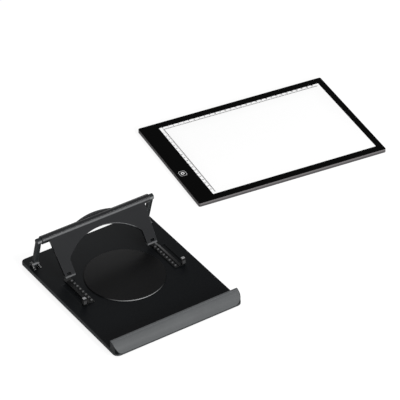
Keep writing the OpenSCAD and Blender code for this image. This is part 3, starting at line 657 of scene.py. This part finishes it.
def ruler_ticks():
    """Millimetre ticks along the window's rear and left edges, on a thin base line."""
    shape = bmesh.new()
    corner = RULER_CORNER
    across = RULER_ACROSS_MM / 1000
    down = RULER_DOWN_MM / 1000
    ink_bar(shape, (corner.x + across / 2, corner.y - RULER_LINE / 2), (across, RULER_LINE))
    ink_bar(shape, (corner.x + RULER_LINE / 2, corner.y - down / 2), (RULER_LINE, down))
    for i in range(RULER_ACROSS_MM + 1):
        length = tick_length(i)
        ink_bar(shape, (corner.x + i / 1000, corner.y + length / 2), (TICK_WIDTH, length))
    for i in range(RULER_DOWN_MM + 1):
        length = tick_length(i)
        ink_bar(shape, (corner.x - length / 2, corner.y - i / 1000), (length, TICK_WIDTH))
    piece_from("ruler_ticks", shape, ruler_ink, "light_pad")


def number_mesh(text):
    """Mesh of a number, centred on the origin, of the ruler's height."""
    curve = bpy.data.curves.new("number", "FONT")
    curve.body = text
    curve.size = NUMBER_HEIGHT / DIGIT_SHARE_OF_FONT
    curve.align_x = "CENTER"
    curve.align_y = "CENTER"
    curve.extrude = INK_THICKNESS / 2
    curve.offset = NUMBER_WEIGHT
    curve.resolution_u = NUMBER_CURVE_STEPS
    holder = bpy.data.objects.new("number", curve)
    bpy.context.scene.collection.objects.link(holder)
    bpy.context.view_layer.update()
    mesh = bpy.data.meshes.new_from_object(holder)
    bpy.data.objects.remove(holder)
    return mesh


def ruler_numbers():
    """Centimetre numbers outside the ticks, upright along both edges, with one 0 at the corner."""
    shape = bmesh.new()
    height = PAD_TOP + INK_THICKNESS / 2
    places = []
    for i in range(0, RULER_ACROSS_MM + 1, NUMBER_STEP_MM):
        places.append((i, RULER_CORNER.x + i / 1000, WINDOW_HIGH.y - NUMBER_INSET))
    for i in range(NUMBER_STEP_MM, RULER_DOWN_MM + 1, NUMBER_STEP_MM):
        places.append((i, WINDOW_LOW.x + NUMBER_INSET, RULER_CORNER.y - i / 1000))
    for millimetre, x, y in places:
        mesh = number_mesh(str(millimetre // NUMBER_STEP_MM))
        mesh.transform(pad_frame @ Matrix.Translation((x, y, height)))
        shape.from_mesh(mesh)
        bpy.data.meshes.remove(mesh)
    piece_from("ruler_numbers", shape, ruler_ink, "light_pad")


def key_outline(shape):
    """Line round the touch key, between two rectangles with rounded corners."""
    place = Matrix.Translation((*KEY_PLACE, PAD_TOP))
    for inset in (0.0, KEY_LINE):
        size = Matrix.Diagonal((KEY_SIZE.x - 2 * inset, KEY_SIZE.y - 2 * inset, 1.0, 1.0))
        made = bmesh.ops.create_grid(shape, x_segments=1, y_segments=1, size=0.5, matrix=place @ size)
        bmesh.ops.bevel(shape, geom=made["verts"], offset=KEY_CORNER - inset, offset_type="OFFSET",
                        affect="VERTICES", segments=KEY_CORNER_STEPS, profile=0.5, material=-1)
    bmesh.ops.delete(shape, geom=shape.faces[:], context="FACES_ONLY")
    bmesh.ops.bridge_loops(shape, edges=shape.edges[:])


def key_ring(shape):
    """Ring in the middle of the key, with a short stroke inside its top."""
    inner = KEY_RING_RADIUS - KEY_RING_LINE
    place = Matrix.Translation((*KEY_PLACE, PAD_TOP))
    loops = []
    for radius in (KEY_RING_RADIUS, inner):
        made = bmesh.ops.create_circle(shape, segments=KEY_RING_STEPS, radius=radius, matrix=place)
        loops += list({edge for vert in made["verts"] for edge in vert.link_edges})
    bmesh.ops.bridge_loops(shape, edges=loops)
    stroke = place @ Matrix.Translation((0.0, inner - KEY_STROKE_DROP, 0.0))
    bmesh.ops.create_grid(shape, x_segments=1, y_segments=1, size=0.5,
                          matrix=stroke @ Matrix.Diagonal((KEY_LINE, KEY_LINE, 1.0, 1.0)))


def touch_key_piece(name, draw, ink):
    """Makes a piece of ink from a flat mark, drawn in the pad's frame on top of the sheet."""
    shape = bmesh.new()
    draw(shape)
    bmesh.ops.recalc_face_normals(shape, faces=shape.faces)
    raised = bmesh.ops.extrude_face_region(shape, geom=shape.faces[:], use_keep_orig=True)
    lifted = [item for item in raised["geom"] if isinstance(item, bmesh.types.BMVert)]
    bmesh.ops.translate(shape, verts=lifted, vec=(0.0, 0.0, INK_THICKNESS))
    bmesh.ops.transform(shape, matrix=pad_frame, verts=shape.verts)
    piece_from(name, shape, ink, "light_pad")


ruler_ticks()
ruler_numbers()
touch_key_piece("touch_key_outline", key_outline, key_ink)
touch_key_piece("touch_key_ring", key_ring, key_glow)


# Studio

def studio_floor():
    """White floor that lights the object as a grey one would, and keeps its shadow."""
    shape = bmesh.new()
    bmesh.ops.create_grid(shape, x_segments=1, y_segments=1, size=FLOOR_HALF)
    mesh = bpy.data.meshes.new("floor")
    shape.to_mesh(mesh)
    shape.free()
    floor = bpy.data.objects.new("floor", mesh)
    bpy.context.scene.collection.objects.link(floor)
    material, tree, shader = new_material("floor_white")
    set_inputs(shader, Base_Color=(FLOOR_GREY, FLOOR_GREY, FLOOR_GREY, 1.0), Roughness=FLOOR_ROUGHNESS,
               Specular_IOR_Level=0.0, Emission_Color=WHITE)
    glow = math_node(tree, "MULTIPLY", background_seen(tree), FLOOR_GLOW)
    tree.links.new(glow, shader.inputs["Emission Strength"])
    mesh.materials.append(material)


def studio_world():
    world = bpy.data.worlds.new("studio")
    bpy.context.scene.world = world
    world.use_nodes = True
    tree = world.node_tree
    background = tree.nodes["Background"]
    set_inputs(background, Color=WHITE)
    strength = remap(tree, background_seen(tree), 0.0, 1.0, WORLD_LIGHT, 1.0)
    tree.links.new(strength, background.inputs["Strength"])


def soft_box(name, place, aim, size, power, spread=180.0):
    """Rectangular lamp, with its spread in degrees."""
    lamp = bpy.data.lights.new(name, "AREA")
    lamp.shape = "RECTANGLE"
    lamp.size, lamp.size_y = size
    lamp.energy = power
    lamp.spread = math.radians(spread)
    holder = bpy.data.objects.new(name, lamp)
    bpy.context.scene.collection.objects.link(holder)
    holder.location = place
    holder.rotation_euler = (Vector(aim) - Vector(place)).to_track_quat("-Z", "Y").to_euler()


def photo_camera():
    data = bpy.data.cameras.new("camera")
    data.lens = CAMERA_LENS
    data.sensor_width = SENSOR_WIDTH
    data.clip_end = CAMERA_REACH
    camera = bpy.data.objects.new("camera", data)
    bpy.context.scene.collection.objects.link(camera)
    camera.location = CAMERA_PLACE
    camera.rotation_euler = (math.pi / 2 - CAMERA_PITCH, 0.0, -CAMERA_YAW)
    bpy.context.scene.camera = camera


studio_floor()
studio_world()
soft_box("front_lamp", place=(0.42, -2.98, 1.12), aim=STAND_MIDDLE, size=(1.6, 0.8), power=70.0)
soft_box("right_lamp", place=(1.37, -1.92, 2.30), aim=STAND_MIDDLE, size=(0.5, 0.4), power=20.0)
soft_box("rear_lamp", place=(0.16, 0.42, 0.22), aim=PLATE_REAR, size=(0.26, 0.12), power=0.050, spread=46.0)
photo_camera()
bpy.context.scene.view_settings.view_transform = "Standard"
